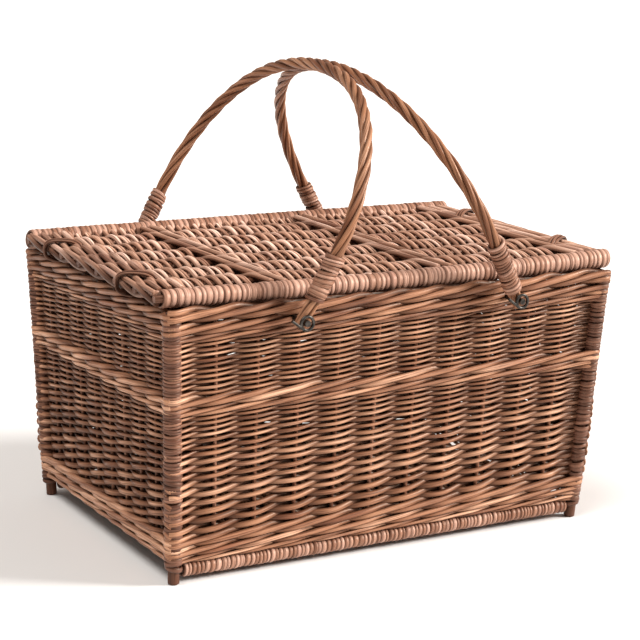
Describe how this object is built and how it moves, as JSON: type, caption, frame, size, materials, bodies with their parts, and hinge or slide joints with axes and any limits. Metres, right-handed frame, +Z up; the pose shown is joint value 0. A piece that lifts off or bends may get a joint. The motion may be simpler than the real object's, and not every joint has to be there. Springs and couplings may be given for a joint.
{
  "type": "wicker picnic hamper",
  "caption": "Rectangular willow picnic hamper with raked stake-and-strand walls, a flat ring-hinged lid and two roped swing handles that lean together over it.",
  "frame": {"origin": "on the floor, at the middle of the four feet", "axes": "+X along the long front to the right, +Y from the front to the hinged back, +Z up"},
  "size_m": [0.508, 0.3918, 0.4666],
  "materials": {
    "willow_weave": "satin buff willow rods, warm brown",
    "willow_lid": "satin buff willow rods, paler and greyer on the lid",
    "willow_wrap": "smooth satin willow turned round a stick",
    "willow_stick": "dark brown willow stick",
    "willow_rope": "smooth satin twisted willow rods",
    "steel": "dark weathered wire"
  },
  "bodies": {
    "basket": {"back_base_wale": "willow_weave", "back_border": "willow_weave", "back_lower_weave": "willow_weave", "back_middle_wale": "willow_weave", "back_stakes": "willow_stick", "back_upper_weave": "willow_weave", "base_back_roll": "willow_wrap", "base_front_roll": "willow_wrap", "base_sticks": "willow_stick", "base_weave": "willow_weave", "corner_post_back_left": "willow_stick", "corner_post_back_right": "willow_stick", "corner_post_front_left": "willow_stick", "corner_post_front_right": "willow_stick", "corner_wrap_back_left": "willow_wrap", "corner_wrap_back_right": "willow_wrap", "corner_wrap_front_left": "willow_wrap", "corner_wrap_front_right": "willow_wrap", "front_base_wale": "willow_weave", "front_border": "willow_weave", "front_lower_weave": "willow_weave", "front_middle_wale": "willow_weave", "front_stakes": "willow_stick", "front_upper_weave": "willow_weave", "hinge_ring_left": "steel", "hinge_ring_right": "steel", "left_base_wale": "willow_weave", "left_border": "willow_weave", "left_handle_pins": "steel", "left_lower_weave": "willow_weave", "left_middle_wale": "willow_weave", "left_stakes": "willow_stick", "left_upper_weave": "willow_weave", "right_base_wale": "willow_weave", "right_border": "willow_weave", "right_handle_pins": "steel", "right_lower_weave": "willow_weave", "right_middle_wale": "willow_weave", "right_stakes": "willow_stick", "right_upper_weave": "willow_weave"},
    "lid": {"lid_back_roll": "willow_wrap", "lid_band_left": "willow_lid", "lid_band_right": "willow_lid", "lid_end_wale_left": "willow_lid", "lid_end_wale_right": "willow_lid", "lid_front_roll": "willow_wrap", "lid_lashings": "willow_wrap", "lid_sticks": "willow_stick", "lid_weave_left": "willow_lid", "lid_weave_middle": "willow_lid", "lid_weave_right": "willow_lid"},
    "handle_left": {"left_handle_back_binding": "willow_wrap", "left_handle_eyes": "steel", "left_handle_front_binding": "willow_wrap", "left_handle_rope": "willow_rope"},
    "handle_right": {"right_handle_back_binding": "willow_wrap", "right_handle_eyes": "steel", "right_handle_front_binding": "willow_wrap", "right_handle_rope": "willow_rope"}
  },
  "joints": [
    {"name": "lid_hinge", "type": "hinge", "parent": "basket", "child": "lid", "pos_m": [0, 0.1515, 0.2605], "axis": [-1, 0, 0], "range_deg": [0, 26]},
    {"name": "handle_left_swing", "type": "hinge", "parent": "basket", "child": "handle_left", "pos_m": [-0.118, 0, 0.247], "axis": [0, -1, 0], "range_deg": [0, 144]},
    {"name": "handle_right_swing", "type": "hinge", "parent": "basket", "child": "handle_right", "pos_m": [0.121, 0, 0.247], "axis": [0, 1, 0], "range_deg": [0, 150]}
  ]
}
